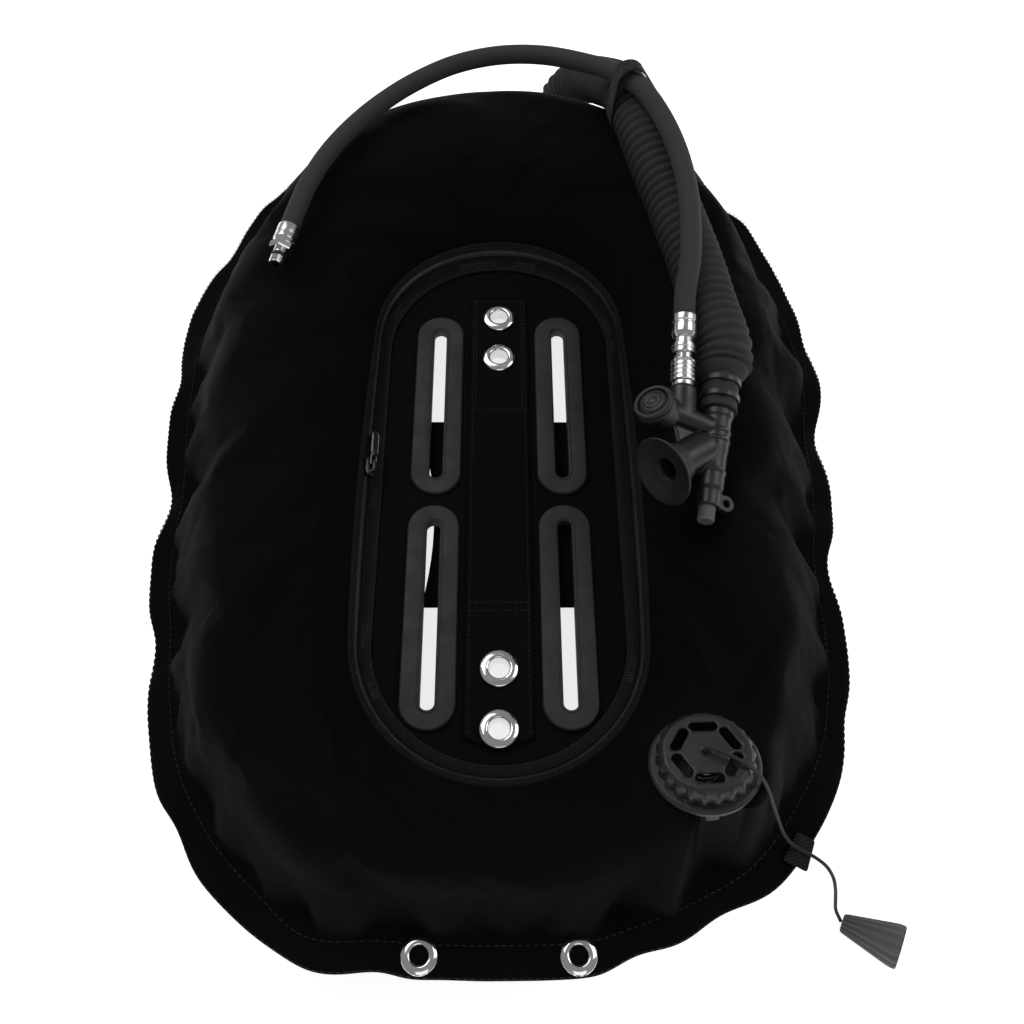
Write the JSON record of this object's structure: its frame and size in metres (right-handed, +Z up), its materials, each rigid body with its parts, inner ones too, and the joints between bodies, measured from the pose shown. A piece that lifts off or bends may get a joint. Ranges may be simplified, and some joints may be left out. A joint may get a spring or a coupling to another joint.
{
  "type": "buoyancy compensator wing",
  "caption": "Donut shaped inflatable fabric wing for diving, with a centre panel, slots and eyelets for a back plate, an inflator on a corrugated hose, a pressure hose and a pull dump valve.",
  "frame": {"origin": "on the floor under the middle of the wing's outline, the wing lying on its back", "axes": "+Z up out of the side that faces the back plate, +Y towards the head end where the corrugated hose turns back, +X to the side that carries the inflator"},
  "size_m": [0.4586, 0.7376, 0.1772],
  "materials": {
    "nylon_fabric": "dense black nylon weave",
    "bladder_film": "coated dark film",
    "moulded_rubber": "matte moulded rubber",
    "hose_rubber": "matte corrugated rubber",
    "hose_jacket": "semi matte hose jacket",
    "strap_webbing": "elastic webbing",
    "braided_cord": "thin braided cord",
    "black_plastic": "moulded, slightly glossy",
    "knob_plastic": "fluted dark grey",
    "chrome_fittings": "polished plating",
    "steel_fittings": "bright machined"
  },
  "bodies": {
    "root": {"front_shell": "nylon_fabric", "rear_shell": "nylon_fabric", "air_bladder": "bladder_film", "centre_panel": "nylon_fabric", "spine_sleeve": "nylon_fabric", "slot_rim_upper_left": "moulded_rubber", "slot_rim_upper_right": "moulded_rubber", "slot_rim_lower_left": "moulded_rubber", "slot_rim_lower_right": "moulded_rubber", "rear_flap": "nylon_fabric", "centre_1_eyelet": "chrome_fittings", "centre_1_washer": "chrome_fittings", "centre_2_eyelet": "chrome_fittings", "centre_2_washer": "chrome_fittings", "centre_3_eyelet": "chrome_fittings", "centre_3_washer": "chrome_fittings", "centre_4_eyelet": "chrome_fittings", "centre_4_washer": "chrome_fittings", "edge_left_eyelet": "chrome_fittings", "edge_left_washer": "chrome_fittings", "edge_right_eyelet": "chrome_fittings", "edge_right_washer": "chrome_fittings", "zipper_inner_tape": "nylon_fabric", "zipper_coil": "black_plastic", "zipper_outer_tape": "nylon_fabric", "dump_valve_base": "black_plastic", "dump_valve_cap": "black_plastic", "dump_spring": "steel_fittings", "dump_cord": "braided_cord", "cord_guide_tab": "nylon_fabric", "dump_knob": "knob_plastic", "elbow_flange": "black_plastic", "elbow_nut": "black_plastic", "elbow": "black_plastic", "inflator_body": "black_plastic", "mouth_tube": "black_plastic", "inflate_spring": "steel_fittings", "button_guard_ring": "moulded_rubber", "deflate_spring": "steel_fittings", "mouthpiece": "moulded_rubber", "hose_nipple": "steel_fittings", "coupler_body": "steel_fittings", "corrugated_hose": "hose_rubber", "lp_hose": "hose_jacket", "hose_cuff": "moulded_rubber", "cuff_tie_1": "black_plastic", "cuff_tie_2": "black_plastic", "inflator_end_ferrule": "steel_fittings", "free_end_ferrule": "steel_fittings", "free_end_fitting": "chrome_fittings", "free_end_ring": "moulded_rubber", "keeper_strap": "strap_webbing"},
    "inflate_valve": {"inflate_button": "black_plastic", "inflate_valve_stem": "steel_fittings"},
    "deflate_valve": {"deflate_button": "black_plastic", "exhaust_seal": "moulded_rubber"},
    "coupler_sleeve": {"coupler_sleeve": "steel_fittings"},
    "dump_valve_stem": {"dump_poppet": "black_plastic"},
    "zipper_slider": {"zipper_slider": "steel_fittings"},
    "zipper_pull": {"zipper_pull": "steel_fittings"}
  },
  "joints": [
    {"name": "inflate_button_press", "type": "slide", "parent": "root", "child": "inflate_valve", "axis": [0.4735, -0.0915, -0.876], "range_m": [0, 0.003], "stiffness_N_per_m": 600, "springref_m": -0.002, "deforming": ["inflate_spring"]},
    {"name": "deflate_button_press", "type": "slide", "parent": "root", "child": "deflate_valve", "axis": [0.1845, 0.9764, 0.112], "range_m": [0, 0.004], "stiffness_N_per_m": 500, "springref_m": -0.002, "deforming": ["deflate_spring"]},
    {"name": "coupler_sleeve_pull", "type": "slide", "parent": "root", "child": "coupler_sleeve", "axis": [0.0738, 0.969, 0.2359], "range_m": [0, 0.004], "stiffness_N_per_m": 400, "springref_m": -0.002},
    {"name": "dump_poppet_lift", "type": "slide", "parent": "root", "child": "dump_valve_stem", "axis": [-0.0806, 0.2417, 0.967], "range_m": [0, 0.004], "stiffness_N_per_m": 300, "springref_m": -0.003, "deforming": ["dump_spring"]},
    {"name": "zipper_slider_travel", "type": "slide", "parent": "root", "child": "zipper_slider", "axis": [0, 1, 0], "range_m": [0, 0.05]},
    {"name": "zipper_pull_flip", "type": "hinge", "parent": "zipper_slider", "child": "zipper_pull", "pos_m": [-0.08415, -0.03044, 0.06209], "axis": [0.5811, 0, -0.8138], "range_deg": [0, 150]}
  ]
}
